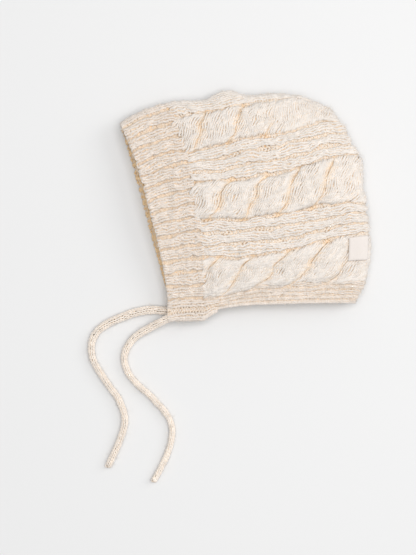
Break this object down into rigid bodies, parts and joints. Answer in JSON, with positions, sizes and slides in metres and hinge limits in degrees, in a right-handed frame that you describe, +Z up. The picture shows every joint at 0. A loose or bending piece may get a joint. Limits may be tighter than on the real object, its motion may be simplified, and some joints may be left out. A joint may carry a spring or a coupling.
{
  "type": "baby bonnet",
  "caption": "Hand-knitted baby bonnet lying flat on its side, with a ribbed face band, rope cables, a ribbed neck band, long knitted ties and a blank woven label.",
  "frame": {"origin": "middle of the bonnet's footprint, on the surface it lies on, without its ties", "axes": "+X from the face edge to the back of the head, +Y from the neck edge to the crown fold, +Z up from the lower layer to the upper one"},
  "size_m": [0.2053, 0.2829, 0.0298],
  "materials": {
    "band_yarn": "fuzzy cream wool, knitted in two-by-two rib",
    "crown_yarn": "fuzzy cream wool, knitted in rope cables and ribbed panels",
    "neck_yarn": "fuzzy cream wool, knitted in fine rib",
    "tie_yarn": "fuzzy cream wool, knitted as a round cord",
    "label_cloth": "pale woven tape, blank"
  },
  "bodies": {
    "root": {"ribbed_face_band": "band_yarn", "cable_crown": "crown_yarn", "neck_band": "neck_yarn", "near_tie": "tie_yarn", "far_tie": "tie_yarn", "woven_label": "label_cloth"}
  },
  "joints": []
}
